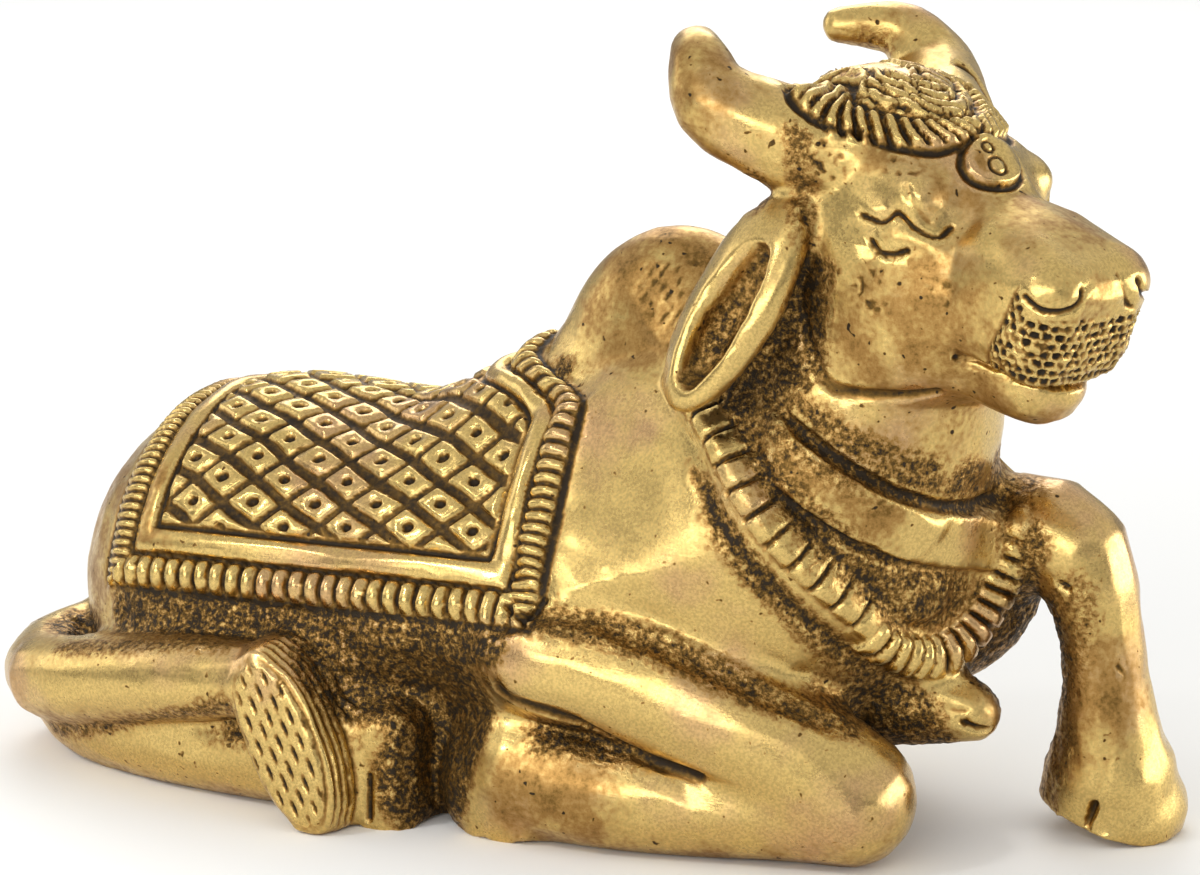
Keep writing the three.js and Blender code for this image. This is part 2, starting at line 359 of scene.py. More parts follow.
# %% Diamonds with punched holes
DOWN_FRONT = np.array([4.5, 2.3])  # from one hole to the next, along x and down the arc
DOWN_BACK = np.array([-2.75, 3.1])
FIRST_HOLE = np.array([-13.9, 17.3])
area = DOWN_FRONT[0] * DOWN_BACK[1] - DOWN_FRONT[1] * DOWN_BACK[0]
dx = x - FIRST_HOLE[0] + wobble
ds = arc - FIRST_HOLE[1] - wobble
along_front = (DOWN_BACK[1] * dx - DOWN_BACK[0] * ds) / area
along_back = (DOWN_FRONT[0] * ds - DOWN_FRONT[1] * dx) / area
to_hole_front = along_front - np.round(along_front)
to_hole_back = along_back - np.round(along_back)
hole_x = to_hole_front * DOWN_FRONT[0] + to_hole_back * DOWN_BACK[0]
hole_s = to_hole_front * DOWN_FRONT[1] + to_hole_back * DOWN_BACK[1]
cut_one = (0.5 - np.abs(to_hole_front)) * area / np.hypot(*DOWN_BACK)
cut_two = (0.5 - np.abs(to_hole_back)) * area / np.hypot(*DOWN_FRONT)
pad = step_up(cut_one, 0.45, 0.5) * step_up(cut_two, 0.6, 0.5)
from_hole = np.hypot(hole_x / 0.75, hole_s / 0.6)
hole = 1 - step_up(from_hole, 0.9, 0.6)
panel_here = step_up(inside, STRIP + 0.9, 0.6) * on_body
height += panel_here * 0.62 * pad
cut(panel_here * (1 - pad), 0, 0.82)
cut(panel_here * hole * pad, 0.62, 0.95)
print("diamonds: one side about", int((CLOTH_FRONT - CLOTH_REAR) * CLOTH_HEM * CLOTH_RADIUS / area))

# %% Beads along the hem and ribs up the ends
BEAD = 1.9
RIB = 1.15
BEAD_PROUD = 0.25
in_fringe = band(inside, -FRINGE + 0.3, -0.35, 0.7) * on_body
hem_side = step_up(np.minimum(to_front, to_rear) - to_hem, 0, 0.8)
bead_gap = line(to_line(x + 0.5 * wobble, BEAD), 0.95)
rib_gap = line(to_line(arc + 0.5 * wobble, RIB), 0.7)
across = np.clip(np.abs(inside + FRINGE / 2) / (FRINGE / 2), 0, 1)
height += in_fringe * hem_side * BEAD_PROUD * (1 - across ** 2)
cut(in_fringe * hem_side * bead_gap, 0.95, 1)
cut(in_fringe * (1 - hem_side) * rib_gap, 0.45, 0.9)
# A chased line parts the fringe from the strip, and the strip from the panel.
cut(line(np.abs(inside + 0.25), 0.9) * on_body, 0.5, 0.9)
cut(line(np.abs(inside - STRIP - 0.45), 0.9) * on_body, 0.35, 1)
# Outside the fringe the cloth ends in a small step.
cut(line(np.abs(inside + FRINGE + 0.1), 1.3) * on_body, 0.25, 1)

# %% [markdown]
# Necklace, collar and leg lines follow paths in space. One helper finds, for every point of the skin near a
# path, how far away the path is and how far along it the nearest place lies. A cut across a cord is then a
# line in the second number, and a groove along it a line in the first.

# %% Paths
def smooth_path(stations, count=60):
    """Points on a curve through the stations, spaced by the stations' own distances."""
    stations = np.array(stations, float)
    steps = np.linalg.norm(np.diff(stations, axis=0), axis=1)
    at = np.concatenate([[0], np.cumsum(steps)])
    wanted = np.linspace(0, at[-1], count)
    slopes = np.gradient(stations, at, axis=0)
    k = np.clip(np.searchsorted(at, wanted, side="right") - 1, 0, len(at) - 2)
    span = (at[k + 1] - at[k])[:, None]
    t = (wanted - at[k])[:, None] / span
    hermite = (2 * t ** 3 - 3 * t ** 2 + 1) * stations[k] + (t ** 3 - 2 * t ** 2 + t) * span * slopes[k]
    return hermite + (3 * t ** 2 - 2 * t ** 3) * stations[k + 1] + (t ** 3 - t ** 2) * span * slopes[k + 1]


def along_path(where, stations, reach, count=24):
    """Distance to a path, the distance along it, and the offset from it, for the points within reach."""
    path = smooth_path(stations, count)
    distance = np.full(len(where), 99.0)
    along = np.zeros(len(where))
    offset = np.zeros((len(where), 3))
    near = np.flatnonzero(((where > path.min(0) - reach) & (where < path.max(0) + reach)).all(1))
    started = 0
    for a, b in zip(path[:-1], path[1:]):
        length = np.linalg.norm(b - a)
        t = np.clip((where[near] - a) @ (b - a) / length ** 2, 0, 1)
        gap = where[near] - a - t[:, None] * (b - a)
        far = np.linalg.norm(gap, axis=1)
        closer = far < distance[near]
        chosen = near[closer]
        distance[chosen] = far[closer]
        along[chosen] = started + t[closer] * length
        offset[chosen] = gap[closer]
        started += length
    return distance, along, offset


# %% Necklace
NECKLACE = [(15, 12, 48), (21.2, 15.4, 43), (27.3, 17, 35.3), (33.4, 13, 27.6), (37.6, 5.6, 20.9),
            (38.6, 0, 19.2)]
PETALS = [(36.4, -12, 23.6), (37.8, -9.5, 21.5), (39.4, -7, 20.6), (40.3, -3, 20.2), (41.4, 0.8, 21.5),
          (42.8, 3, 24.6), (44.4, 4, 28.6), (45.8, 4.6, 32.5)]
LINK = 2.9  # from cut to cut on the cord
LOBE = 1.9  # from cut to cut where it turns into petals
TO_HEAD = np.array([0.587, 0, 0.81])
from_cord, along_cord, cord_gap = along_path(folded, NECKLACE, 4, 70)
up_cord = cord_gap @ TO_HEAD
on_cord = (1 - step_up(from_cord, 3.0, 0.8)) * band(along_cord, 2, 34, 2)
cut(on_cord * line(to_line(along_cord, LINK), 0.75) * step_up(up_cord, -0.7, 0.4), 0.5, 0.9)
cut(on_cord * line(np.abs(up_cord + 0.75), 0.8), 0.15, 0.35)
# Dirt lies in the corner on both sides of the cord.
cut(band(along_cord, 10, 35, 8) * line(np.abs(from_cord - 3.5), 1.7), 0.25, 0.9)
from_petals, along_petals, _ = along_path(points, PETALS, 3, 50)
on_petals = (1 - step_up(from_petals, 2.1, 0.9)) * step_up(along_petals, 0.3, 0.6)
height += 0.7 * on_petals
cut(on_petals * line(to_line(along_petals + wobble, LOBE), 0.85), 0.95, 1)
print("necklace:", round(along_cord.max(), 1), "mm on each side")

# A low uneven lump lies inside the necklace's curve.
LUMP_AT = np.array([39.6, -6, 26.8])
from_lump = np.linalg.norm((points - LUMP_AT) / np.array([3.6, 4.4, 3]), axis=1)
from_lump += 0.12 * cloud(points, 1.6, 6)
height += 0.7 * (1 - step_up(from_lump, 0.8, 0.5))

# %% Collar
COLLAR_LOW, COLLAR_HIGH = 48.6, 53.6
collar_level = 0.587 * x + 0.81 * z
on_neck = step_up(x, 28, 5) * (1 - step_up(x, 44.5, 2)) * step_up(z, 30, 4) * (z < 60)
cut(on_neck * line(np.abs(collar_level - COLLAR_HIGH - 0.7), 1.4), 0.7, 0.95)
cut(on_neck * line(np.abs(collar_level - COLLAR_LOW + 0.7), 1.5), 0.5, 0.95)

# %% [markdown]
# The head is turned towards the viewer and a little down. Its details are easiest to give in the head's own
# frame, with x along the muzzle and z up, and then one rule holds for both cheeks.

# %% The head's frame
HEAD_AT = np.array([35.2, -3, 64.7])
HEAD_TURN = Euler((0, math.radians(14), math.radians(-20)), "XYZ")
in_head = (points - HEAD_AT) @ np.array(HEAD_TURN.to_matrix())
hx, hy, hz = in_head.T
cheek = np.column_stack([hx, np.abs(hy), hz])
on_head = (np.linalg.norm(in_head - np.array([8, 0, 0]), axis=1) < 32) & (z > 40)

# %% Chisel strokes
# Each is a path over the right cheek in the head's frame, with its width, depth and dirt.
STROKES = {
    "upper lid": ([(5.1, 11.1, 3.5), (7.7, 10.6, 3.8), (8.4, 10.0, 4.9), (10.6, 9.4, 4.1), (12.6, 7.9, 3.8),
                   (13.0, 7.1, 4.8)], 0.75, 0.5, 1),
    "lower lid": ([(7.0, 11.3, 1.7), (8.0, 11.2, 1.0), (9.6, 10.8, 1.1), (10.8, 10.2, 1.9)], 0.85, 0.55, 1),
    "nostril": ([(24.4, 7.9, 2.4), (26, 7.4, 1.7), (27.6, 6.1, 1.9), (28.2, 4.5, 2.7), (27.9, 3.9, 3.9)],
                1.0, 0.6, 1.1),
    "mouth": ([(16.9, 7.0, -7.2), (18.5, 6.0, -7.8), (21.6, 5.4, -7.8), (25.2, 3.7, -7.7), (27.1, 0, -7.7)],
              0.9, 0.4, 1.2),
    "jaw": ([(1.2, 12.4, -9), (3.0, 12.1, -11.8), (5.4, 11.4, -14.2), (8.7, 10.2, -14.2), (12.0, 8.3, -13.2),
             (15.0, 6.4, -12)], 1.8, 0.5, 0.8),
    "behind the cheek": ([(-0.2, 13.4, 1.7), (1.0, 13.4, -2.0), (0.5, 12.8, -7.3), (1.2, 12.4, -9.8)],
                         1.8, 0.3, 0.9),
    "horn root": ([(-6.8, 12.1, 12.1), (-5.1, 12.7, 11.4), (-3.3, 12.3, 10.7), (-1.2, 11.4, 10.2),
                   (1, 9.6, 10.2)], 1.4, 0.5, 1.1),
    "under the hair": ([(1, 9.6, 10.2), (3.2, 8.3, 9.9), (5.7, 7, 10), (7.7, 5.2, 10.3), (8.5, 3, 11)],
                       1.4, 0.4, 1),
    "brow": ([(8.6, 9.2, 7.4), (9.8, 9.4, 6.4), (11.4, 8.5, 4.9)], 1.0, 0.25, 0.3),
}
# The lips nearly touch, so the skin that faces the gap of the mouth swells first.
to_lips = along_path(cheek, STROKES["mouth"][0], 5)[0]
facing_lips = step_up(np.abs(normals @ np.array(HEAD_TURN.to_matrix())[:, 2]), 0.6, 0.4)
height += 0.26 * on_head * facing_lips * (1 - step_up(to_lips, 4, 2))
for path, width, depth, soiled in STROKES.values():
    cut(line(along_path(cheek, path, 2)[0], width) * on_head, depth, soiled)
# The far nostril was cut deeper round to the front than the near one.
FAR_NOSTRIL = [(27.2, 1.5, 4.4), (27.9, 2.2, 2.8), (28.2, 2.9, 1.6), (27.8, 4.4, 1.2)]
cut(line(along_path(in_head, FAR_NOSTRIL, 2)[0], 0.85) * on_head, 0.5, 1)
# The brow stands over a hollow in front of it.
height -= 0.7 * on_head * line(np.linalg.norm(cheek - np.array([12.6, 6.9, 6.2]), axis=1), 7.5) ** 2
height += 0.5 * on_head * line(np.linalg.norm(cheek - np.array([9.2, 8.8, 6.6]), axis=1), 6.5) ** 2

# %% The ear's hollow
EAR_HOLLOW = [(-1.6, 15.9, -3), (-3.0, 17.3, -8), (-4.0, 18.8, -12.5), (-3.6, 21.2, -16)]
from_hollow = along_path(cheek, EAR_HOLLOW, 4)[0]
in_hollow = (1 - step_up(from_hollow, 1.5, 1.6)) * on_head
cut(in_hollow, 0.5, 0.6)

# %% The punched muzzle
PUNCH = 1.0
muzzle_arc = np.arctan2(hy, hx - 19) * 8.5 + 0.9 * wobble
punch_z = hz + 0.7 * wobble
row = np.round(punch_z / PUNCH)
column = muzzle_arc + 0.5 * PUNCH * (row % 2) + 0.6 * wobble
dent = line(to_line(punch_z, PUNCH), 1) * line(to_line(column, PUNCH), 1)
pad_edge = hx - 22.1 - 0.3 * (hz + 1.5)
pad_top = 0.7 + 1.6 * (1 - step_up(hx, 24.2, 1.4))
pad_here = step_up(pad_edge, 0, 0.4) * step_up(hz, -7.7, 0.8) * (1 - step_up(hz, pad_top, 0.8)) * on_head
uneven = np.clip(0.75 + 1.1 * cloud(points, 1.2, 4), 0, 1.3)
height += 0.22 * pad_here
cut(pad_here * dent * uneven, 0.6, 1.6)
cut(pad_here * step_up(cloud(points, 0.6, 9), 0.15, 0.3), 0.12, 0.6)
cut(line(np.abs(pad_edge), 0.7) * band(hz, -7.4, 3.2, 1) * on_head, 0.15, 0.5)

# %% Hair and brow ornament
HAIR_EDGE = [(-5.5, 11, 12), (-1.5, 9.9, 11.3), (1.5, 8.1, 11.2), (5.4, 4.6, 11.5), (7, 0, 11.6)]
LOCK = 1.45
from_hair, along_hair, hair_gap = along_path(cheek, HAIR_EDGE, 8, 40)
above_hair = hair_gap @ np.array([-0.8, 0, 0.6])
curl = along_hair + 0.8 * above_hair + 2.4 * wobble
hair_end = np.where(hy < 0, 11.8, 8.8)
in_hair = (1 - step_up(np.abs(hy), hair_end, 1.2)) * on_head
lock_row = (from_hair < 5) * band(above_hair, -1.5, 1.1, 0.6) * in_hair
height += 0.7 * lock_row
cut(lock_row * line(to_line(curl, LOCK), 0.85), 0.85, 1)
cut(in_hair * (from_hair < 6) * line(np.abs(above_hair - 1.5), 1.0), 0.6, 1)
# Behind the row of locks the hair lies in long waves.
STRAND = 1.5
crown = (from_hair < 9) * step_up(above_hair, 1.9, 0.7) * in_hair * (1 - step_up(np.abs(hy), 9, 1))
strand = above_hair + 0.3 * hy + 2.2 * wobble + 0.8 * cloud(points, 2.2, 12)
height += 0.4 * crown
cut(crown * line(to_line(strand, STRAND), 0.75), 0.6, 0.95)
cut(crown * line(to_line(curl + above_hair, 3.4), 0.6), 0.3, 0.8)
ORNAMENT_AT = np.array([10.8, -0.4, 9.8])
ORNAMENT_TILT = math.radians(30)
slope = np.array([math.cos(ORNAMENT_TILT), 0, -math.sin(ORNAMENT_TILT)])
ornament_up = (in_head - ORNAMENT_AT) @ slope
ornament_across = hy - ORNAMENT_AT[1]
from_ornament = np.hypot(ornament_up / 2.8, ornament_across / 3.3)
on_ornament = (np.linalg.norm(in_head - ORNAMENT_AT, axis=1) < 5) * 1.0
height += 0.4 * on_ornament * (1 - step_up(from_ornament, 0.95, 0.2))
for middle, radius in ((-1.4, 0.6), (0.75, 0.95)):
    ring = np.abs(np.hypot(ornament_up - middle, ornament_across + 0.3) - radius)
    cut(on_ornament * line(ring, 0.55), 0.35, 0.9)
cut(on_ornament * line(np.abs(from_ornament - 1.1) * 3.2, 1.1), 0.5, 1)

# %% Tail tuft
TUFT_AT = np.array([-21.2, -25, 9.2])
TUFT_TURN = math.radians(-24)
tx = (x - TUFT_AT[0]) * math.cos(TUFT_TURN) - (z - TUFT_AT[2]) * math.sin(TUFT_TURN)
tz = (x - TUFT_AT[0]) * math.sin(TUFT_TURN) + (z - TUFT_AT[2]) * math.cos(TUFT_TURN)
from_tuft = np.hypot(tx / 4.9, tz / 10.6)
on_tuft = (y < -28.2) * (from_tuft < 1.1)
column = np.round(tx / 1.25)
stagger = 1.3 * (column % 2) + 0.5 * np.sin(7 * column)
dash = line(to_line(tx + 0.5 * wobble, 1.25), 0.65) * line(to_line(tz + stagger + 1.5 * wobble, 2.9), 2.4)
cut(on_tuft * dash * (1 - step_up(from_tuft, 0.8, 0.2)), 0.4, 1.1)
cut(on_tuft * line(np.abs(from_tuft - 0.88) * 6, 0.8), 0.15, 0.3)
# Combed grooves run round its front edge down to the tip.
near_tuft = (y < -21) * (np.abs(tx) < 7) * (np.abs(tz) < 13)
combed = band(from_tuft, 0.8, 1.3, 0.1) * step_up(tx, 1.5, 1.5) * near_tuft
cut(combed * line(to_line(y, 1.1), 0.6), 0.25, 0.6)

# %% [markdown]
# The legs were left plainer. Their creases are single cuts, and the corners that the file missed kept some
# ragged metal: a slit in the hind foot, a notch in the small hoof, a pinhole at the standing knee.

# %% Cuts on the legs
# Each is a path in millimetres, with its width, depth and dirt. Points with y below 0 lie on the right.
LEG_CUTS = {
    "over the forearm": ([(1.2, -24.2, 23), (7.2, -22, 24.6), (15.8, -21.2, 22.8), (21.7, -19.7, 20.6),
                          (29.5, -17.5, 17.4), (34, -15.8, 14.9)], 3.0, 0.5, 0.6),
    "under the forearm": ([(1.4, -24.1, 16.7), (8.4, -24.3, 15), (16.2, -20.9, 11), (22, -20.4, 9.6)],
                          2.2, 0.5, 1),
    "knob on the cloth's corner": ([(1.3, -23, 25.4), (3.6, -23.6, 24.4), (5.3, -21.8, 26)], 0.9, 0.6, 1),
    "hind foot's slit": ([(-13.7, -24.7, 5.6), (-13.8, -24.6, 1)], 0.9, 0.5, 1),
    "small hoof's notch": ([(43, -2.9, 13.5), (44.1, -2.4, 12.9), (45.4, -1.2, 12.3)], 1.1, 0.9, 1),
    "small hoof's cleft": ([(38, -3.6, 14.6), (40.5, -3.2, 14.8), (43, -2.6, 14.6)], 0.8, 0.3, 0.7),
    "shin": ([(54, 4.9, 29.9), (54.8, 5.1, 21.7), (55.5, 5.1, 13.4), (55.4, 4.5, 7.8), (53.9, 4.1, 3)],
             1.6, 0.12, 0.2),
    "hoof's notch": ([(54.4, 4.2, 4.5), (53.7, 4, 2.6), (53.3, 3.8, 1)], 1.2, 0.8, 0.9),
    "pinhole": ([(50.6, 3.6, 27.4), (51.3, 3.5, 27)], 1.0, 0.8, 1),
    "nick in the shin": ([(56.1, 5.7, 18.9), (56.4, 6.4, 18.2)], 0.8, 0.3, 0.8),
}
for path, width, depth, soiled in LEG_CUTS.values():
    cut(line(along_path(points, path, 2)[0], width), depth, soiled)

# %% [markdown]
# Where the file and the wheel never reached, the casting kept its sandy skin. Shelter finds most such places.
# The rest are set along paths, as a person looking at the bull would point them out.

# %% Sandy skin
# Each is a path on one flank and its mirror image on the other, with the sandy skin's reach and roughness.
SANDY = {
    "under the hem": ([(-46, 21, 18), (-30.4, 22.6, 19.2), (-17, 22.6, 19.8), (-5, 23, 20.2),
                       (0.5, 24, 21.5)], 2.6, 1),
    "behind the foreleg": ([(-17, 22.5, 17), (-8, 21.6, 16), (-7, 20.4, 10), (-9, 20, 5)], 6.5, 1),
    "above the tail": ([(-52, 23.7, 14.6), (-43.1, 25.6, 16.4), (-30, 26.6, 18.2)], 1.6, 0.7),
    "below the tail": ([(-56, 19.4, 3.6), (-44.9, 23.8, 7), (-34.6, 27.6, 10.4), (-28, 29, 12.6)], 1.3, 0.8),
    "between collar and necklace": ([(19.9, 16.3, 47), (24, 16.6, 42.4), (29, 17, 37), (34.6, 14.4, 32),
                                     (38.6, 9, 27.4), (40.6, 3, 26)], 3.4, 0.85),
    "neck above the collar": ([(26, 15.5, 47.5), (31, 16, 45), (36, 14, 42), (41, 10, 39.5)], 3.2, 0.8),
    "behind the ear": ([(24, 15, 52), (28, 15, 52.5)], 5, 0.9),
    "between horn and ear": ([(30, 15.6, 74), (30.2, 15, 69.5), (30.6, 16, 63.5)], 1.6, 0.7),
    "below the necklace": ([(20, 19, 41), (23.1, 19, 36.8), (26.7, 19, 31.4), (30.9, 16.6, 25.8),
                            (34.4, 12, 21), (35.6, 7, 16.6)], 1.9, 0.85),
    "over the forearm": ([(2, 23.4, 24.4), (15.8, 21.2, 22.8), (21.7, 19.7, 20.6), (29.5, 17.5, 17.7),
                          (35, 14, 14.9)], 2.2, 0.8),
    "root of the small hoof": ([(34, 8, 16), (38, 3.8, 13.5), (39, 2.6, 11)], 3.2, 0.9),
    "chest under the head": ([(43.6, 4, 38), (44.4, 2, 33.5)], 3.4, 0.8),
    "inner side of the shoulder": ([(46.4, 4, 31), (44.6, 5, 25)], 3.2, 0.9),
    "rear of the shin": ([(51.6, 4, 26), (49.6, 6.4, 16.2), (49.4, 5.9, 10.3), (48.1, 6.6, 3)], 3, 0.55),
}
for path, reach, amount in SANDY.values():
    distance = along_path(folded, path, reach + 3)[0]
    np.maximum(rough, amount * (1 - step_up(distance, reach, 2.4)), out=rough)
np.maximum(rough, step_up(shelter, 0.24, 0.3), out=rough)
np.maximum(rough, 0.5 * in_hollow, out=rough)
np.maximum(rough, 0.5 * in_hair * (from_hair < 9) * step_up(above_hair, -1, 1), out=rough)
rough *= 1 - 0.75 * on_cord * (1 - step_up(from_cord, 2.3, 0.6))
rough *= 1 - 0.6 * on_petals
rough *= 1 - 0.9 * on_neck * band(collar_level, COLLAR_LOW + 0.3, COLLAR_HIGH - 0.2, 1.2) * step_up(x, 37, 7)
rough *= 1 - 0.9 * on_head * step_up(hx, 17, 3)
rough *= 1 - 0.9 * on_body * step_up(inside, -FRINGE, 0.6)

# %% Pits and sand
PITS = {  # places on the cheek in the head's frame, and their reach
    "cheek": ((8.8, 11.5, -2.9), 2.4),
    "under the eye": ((8.8, 11, 1.0), 1.2),
    "beside the nose": ((15.2, 8.7, -1.2), 1.6),
    "temple": ((-0.1, 12.1, 7.1), 2.2),
    "brow": ((6.6, 8.6, 8.8), 1.8),
}
ragged = cloud(points, 0.7, 1)
lumpy = cloud(points, 1.7, 2)
for place, reach in PITS.values():
    spot = on_head * (1 - step_up(np.linalg.norm(cheek - np.array(place), axis=1), reach, 2.4))
    cut(spot * step_up(ragged + 0.5 * lumpy, 0.27, 0.3), 0.13, 0.85)
height += rough * (0.16 * ragged + 0.14 * lumpy)
# The file left the plain faces very slightly uneven.
height += 0.045 * cloud(points, 5.5, 3) + 0.02 * cloud(points, 2.1, 5)
# On the hump beside the ear coarse file marks were left, with dirt in them.
marks_here = 1 - step_up(np.linalg.norm(folded - [12, 7, 56], axis=1), 4.5, 4)
mark_gaps = step_up(cloud(points * [1, 1, 0.4], 0.9, 11), 0, 0.4)
cut(marks_here * mark_gaps * line(to_line(0.87 * x - 0.5 * z, 1.1), 0.6), 0.09, 0.9)

# %% Tarnish, and painted shade on the folded shin
# Places that a polishing cloth passes over, in millimetres, with their reach and how brown they are.
TARNISH_AND_SHADE = {
    "cheek": ((44, -14, 58), 9, 0.44),
    "jaw": ((47, -12.5, 50), 8, 0.44),
    "angle of the jaw": ((35.6, -15.2, 52.9), 6, 0.46),
    "muzzle": ((58, -14, 58), 6, 0.4),
    "nose": ((54, -10, 68), 7, 0.4),
    "near horn": ((16, -16, 78), 8, 0.42),
    "far horn": ((30, 12, 78), 9, 0.2),
    "forehead": ((38.5, -12.2, 73.6), 4, 0.42),
    "above the nose": ((45.5, -11, 71), 4.5, 0.45),
    "neck": ((40, -8, 45), 7, 0.26),
    "below the ear": ((31.4, -16.3, 42.7), 5, 0.6),
    "collar's end": ((36, -13.5, 36.5), 5, 0.55),
    "shin": ((51.5, 5, 16), 8, 0.46),
    "rump": ((-50, -15, 26), 12, 0.4),
    "hump": ((9, -7, 56), 10, 0.5),
    "tail": ((-56, -18, 12), 9, 0.2),
    "knee": ((44, -16, 3), 4.5, 0.5),
    # The folded shin is partly tarnish and partly painted shade: a dark reflection along its lower part.
    "folded shin with painted shade": ((7, -24, 5), 8, 0.46),
}
blotchy = 0.75 + 0.5 * cloud(points, 3.2, 7)
for place, reach, amount in TARNISH_AND_SHADE.values():
    apart = np.linalg.norm(folded - [place[0], abs(place[1]), place[2]], axis=1)
    np.maximum(dirt_and_shade, amount * blotchy * (1 - step_up(apart, reach, 0.9 * reach)), out=dirt_and_shade)
# No cloth ever rubs the undersides, and the faces that look down are darkened the more they face down:
# painted shade as well as dirt.
np.maximum(dirt_and_shade, 0.42 * blotchy * step_up(-normals[:, 2], 0.55, 0.7), out=dirt_and_shade)
# The rear half of the saddle cloth is the most soiled.
np.maximum(dirt_and_shade, 0.4 * panel_here * blotchy * step_up(-x, 24, 22), out=dirt_and_shade)

# %% Moving the skin
ground = step_up(z, 0.5, 0.8)
write_points(bull, points + normals * (height * ground)[:, None])
print("relief from", round(height.min(), 2), "to", round(height.max(), 2), "mm")

# %% [markdown]
# Dirt also gathers in every corner, whatever its place. A point that lies deeper than the average of the
# points round it is in a hollow, and one that stands out is on an edge, which handling keeps bright. The
# average is taken over a short way for the cuts and over a longer way for the corners.

# %% Hollows and edges
def eased(values, turns):
    """Each point's values averaged with its neighbours', over and over."""
    for turn in range(turns):
        values = 0.5 * values + 0.5 * neighbour_mean(values)
    return values


carved = read_points(bull)
short_way = eased(carved, 6)
long_way = eased(short_way, 30)
edge_height = ((carved - short_way) * normals).sum(1)
corner_depth = ((long_way - carved) * normals).sum(1)
print("edges up to", round(edge_height.max(), 2), "mm, corners up to", round(corner_depth.max(), 2), "mm")

dirt_and_shade = np.maximum(dirt_and_shade, 0.73 * rough)
corner = 0.75 * step_up(corner_depth, 0.32, 0.36) * (1 - 0.6 * on_head * step_up(hx, 18, 3))
dirt_and_shade = np.maximum(dirt_and_shade, corner)
dirt_and_shade = dirt_and_shade - 0.5 * step_up(edge_height, 0.07, 0.08)
for name, values in {"dirt_and_shade": dirt_and_shade, "rough": rough}.items():
    layer = bull.data.attributes.new(name, "FLOAT", "POINT")
    layer.data.foreach_set("value", values.astype(np.float32))

# %% [markdown]
# The even net has served its purpose. Where the skin is plain it has far more faces than it needs, so a
# decimation collapses them there first and leaves the small faces to the patterns.

# %% Fewer faces
FACES = 190000
triangles = 2 * len(bull.data.polygons)
apply_modifier(bull, "Thin", "DECIMATE", ratio=min(1, FACES / triangles))
bull.data.calc_loop_triangles()
print("faces:", triangles, "down to", len(bull.data.loop_triangles))

# %% [markdown]
# Cast brass, hand polished and long handled. Polishing leaves a satin gold with fine scratches. Tarnish turns
# it pinkish brown where a cloth seldom rubs, and olive black with old polish and dirt in the hollows, where
# the skin is still rough from the sand. To the eye the tarnish is less a colour than a loss of shine, so it
# drives the roughness and the share of bare metal as well.

# %% Worn brass
GRIT = 0.6 * MM  # grain of the sand, and so of the specks of dirt in it
brass = new_material("cast_brass_hand_polished")
here = add_node(brass, "ShaderNodeTexCoord").outputs["Object"]
# This attribute holds dirt, and also the painted shade on the undersides and the folded shin, so the dark
# layers drawn from it paint that shade too.
soiled = add_node(brass, "ShaderNodeAttribute", attribute_name="dirt_and_shade").outputs["Fac"]
sandy = add_node(brass, "ShaderNodeAttribute", attribute_name="rough").outputs["Fac"]
specks = add_node(brass, "ShaderNodeTexNoise",
                  {"Vector": here, "Scale": 1 / GRIT, "Detail": 3, "Roughness": 0.7})
patches = add_node(brass, "ShaderNodeTexNoise", {"Vector": here, "Scale": 1 / (13 * MM), "Detail": 4})
smudges = add_node(brass, "ShaderNodeTexNoise",
                   {"Vector": here, "Scale": 1 / (2.6 * MM), "Detail": 5, "Roughness": 0.7})

# Specks count fully in sandy skin and only lightly on polished metal.
speck_share = add_node(brass, "ShaderNodeMapRange", {"Value": sandy, "To Min": 0.6, "To Max": 2.8})
speck = add_node(brass, "ShaderNodeMath", {0: specks.outputs["Fac"], 1: 0.5}, operation="SUBTRACT")
speckled = add_node(brass, "ShaderNodeMath", {0: speck.outputs[0], 1: speck_share.outputs[0], 2: soiled},
                    operation="MULTIPLY_ADD")
smudge = add_node(brass, "ShaderNodeMath", {0: smudges.outputs["Fac"], 1: 0.5}, operation="SUBTRACT")
grime_and_shade = add_node(brass, "ShaderNodeMath", {0: smudge.outputs[0], 1: 0.6, 2: speckled.outputs[0]},
                 operation="MULTIPLY_ADD")

# Here and there a pinhole of the casting shows as a dark speck on the polished metal.
pinholes = add_node(brass, "ShaderNodeTexNoise", {"Vector": here, "Scale": 1 / (0.9 * MM), "Detail": 1})
pinhole = add_node(brass, "ShaderNodeMapRange",
                   {"Value": pinholes.outputs["Fac"], "From Min": 0.72, "From Max": 0.78, "To Max": 0.6})
grime_and_shade = add_node(brass, "ShaderNodeMath", {0: grime_and_shade.outputs[0], 1: pinhole.outputs[0]}, operation="ADD")

pinkness = add_node(brass, "ShaderNodeMapRange",
                    {"Value": patches.outputs["Fac"], "From Min": 0.5, "From Max": 0.68, "To Max": 0.7},
                    interpolation_type="SMOOTHSTEP")
clean = add_node(brass, "ShaderNodeMix",
                 {0: pinkness.outputs[0], 6: linear("#DBBB73"), 7: linear("#CBA077")}, data_type="RGBA")
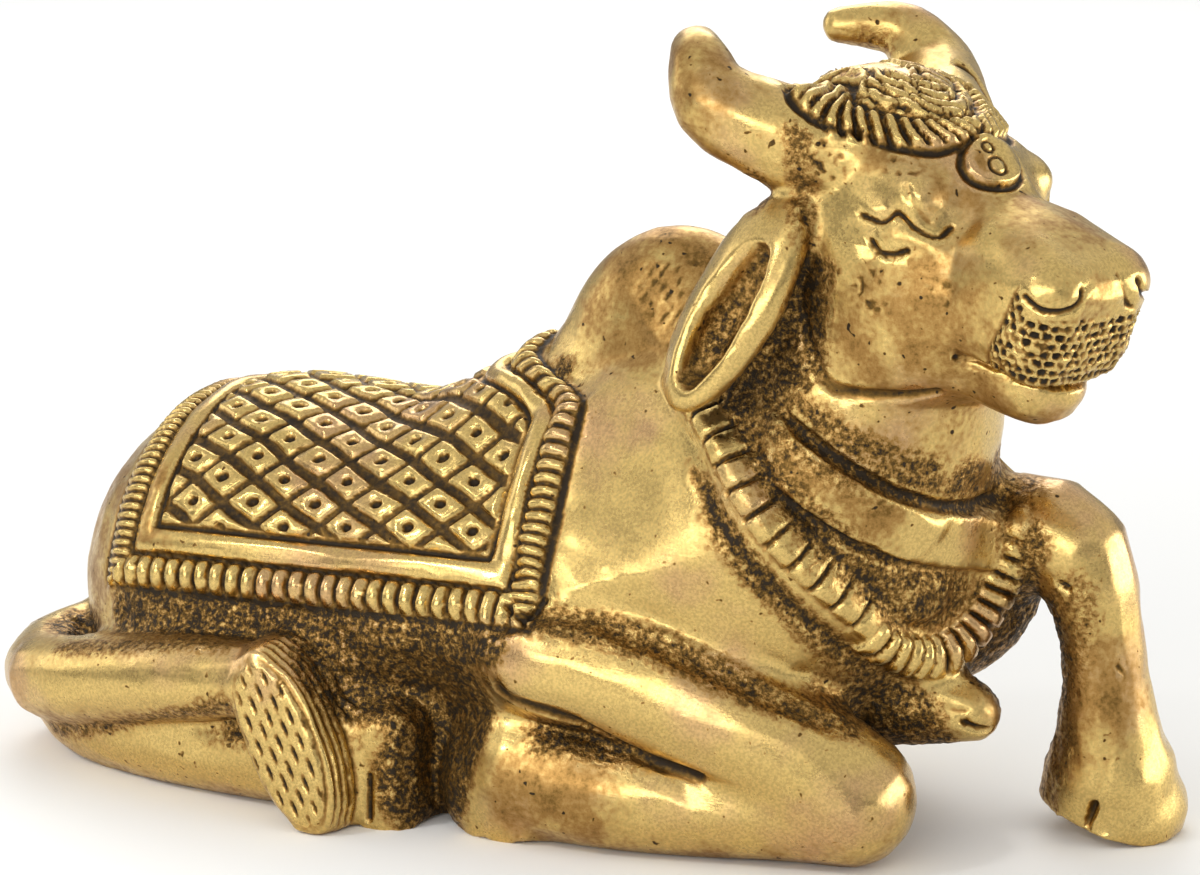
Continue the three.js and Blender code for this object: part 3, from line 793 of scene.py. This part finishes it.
# The polished skin is never quite one tone: a fine grain of slightly darker points runs through it.
grain = add_node(brass, "ShaderNodeTexNoise", {"Vector": here, "Scale": 1 / (0.3 * MM), "Detail": 2})
grain_share = add_node(brass, "ShaderNodeMapRange",
                       {"Value": grain.outputs["Fac"], "From Min": 0.38, "From Max": 0.62})
grain_tone = add_node(brass, "ShaderNodeMix",
                      {0: grain_share.outputs[0], 6: linear("#E2E2E2"), 7: linear("#FFFFFF")},
                      data_type="RGBA")
grained = add_node(brass, "ShaderNodeMix", {0: 1.0, 6: clean.outputs[2], 7: grain_tone.outputs[2]},
                   data_type="RGBA", blend_type="MULTIPLY")
colour = grained.outputs[2]
LAYERS = [(0.12, 0.4, "#A57F48"), (0.35, 0.65, "#6B5024"), (0.6, 0.95, "#2B2010")]  # dirt from, to, colour
for low, high, code in LAYERS:
    cover = add_node(brass, "ShaderNodeMapRange",
                     {"Value": grime_and_shade.outputs[0], "From Min": low, "From Max": high},
                     interpolation_type="SMOOTHSTEP")
    layered = add_node(brass, "ShaderNodeMix", {0: cover.outputs[0], 6: colour, 7: linear(code)},
                       data_type="RGBA")
    colour = layered.outputs[2]

bare = add_node(brass, "ShaderNodeMapRange",
                {"Value": grime_and_shade.outputs[0], "From Min": 0.5, "From Max": 1, "To Min": 1, "To Max": 0.6})
dull = add_node(brass, "ShaderNodeMapRange",
                {"Value": grime_and_shade.outputs[0], "From Min": 0, "From Max": 0.9, "To Min": 0.27, "To Max": 0.58})
gloss = add_node(brass, "ShaderNodeMath", {0: smudge.outputs[0], 1: 0.3, 2: dull.outputs[0]},
                 operation="MULTIPLY_ADD")

# Fine scratches, drawn 0.2 mm wide, a little coarser than real ones so that they show. They run one way in
# some patches and another way in the rest, as a hand turns the piece while it polishes.
scratch_sets = []
for turned in ((0, 0.9, 0.4), (0.5, -0.7, 1.2)):
    drawn_out = add_node(brass, "ShaderNodeMapping",
                         {"Vector": here, "Rotation": turned, "Scale": (0.08, 1, 1)})
    hairlines = add_node(brass, "ShaderNodeTexNoise",
                         {"Vector": drawn_out.outputs[0], "Scale": 1 / (0.2 * MM), "Detail": 3})
    scratch_sets.append(hairlines.outputs["Fac"])
which_way = add_node(brass, "ShaderNodeMapRange",
                     {"Value": patches.outputs["Fac"], "From Min": 0.46, "From Max": 0.54})
scratches = add_node(brass, "ShaderNodeMix",
                     {0: which_way.outputs[0], 2: scratch_sets[0], 3: scratch_sets[1]})
sand_bump = add_node(brass, "ShaderNodeMath", {0: specks.outputs["Fac"], 1: sandy}, operation="MULTIPLY")
SAND_DEPTH, SCRATCH_DEPTH = 0.26 * MM, 0.013 * MM
sand = add_node(brass, "ShaderNodeMath", {0: sand_bump.outputs[0], 1: SAND_DEPTH}, operation="MULTIPLY")
relief = add_node(brass, "ShaderNodeMath",
                  {0: scratches.outputs[0], 1: SCRATCH_DEPTH, 2: sand.outputs[0]}, operation="MULTIPLY_ADD")
bump = add_node(brass, "ShaderNodeBump", {"Height": relief.outputs[0], "Strength": 1.0, "Distance": 1.0})
metal = add_node(brass, "ShaderNodeBsdfPrincipled", {
    "Base Color": colour, "Metallic": bare.outputs[0],
    "Roughness": gloss.outputs[0], "Normal": bump.outputs[0]})
add_node(brass, "ShaderNodeOutputMaterial", {"Surface": metal.outputs[0]})

# %% Finished piece
bull.data.materials.clear()
bull.data.materials.append(brass)
for face in bull.data.polygons:
    face.use_smooth = True
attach(bull, "root")
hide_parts("bull_casting")
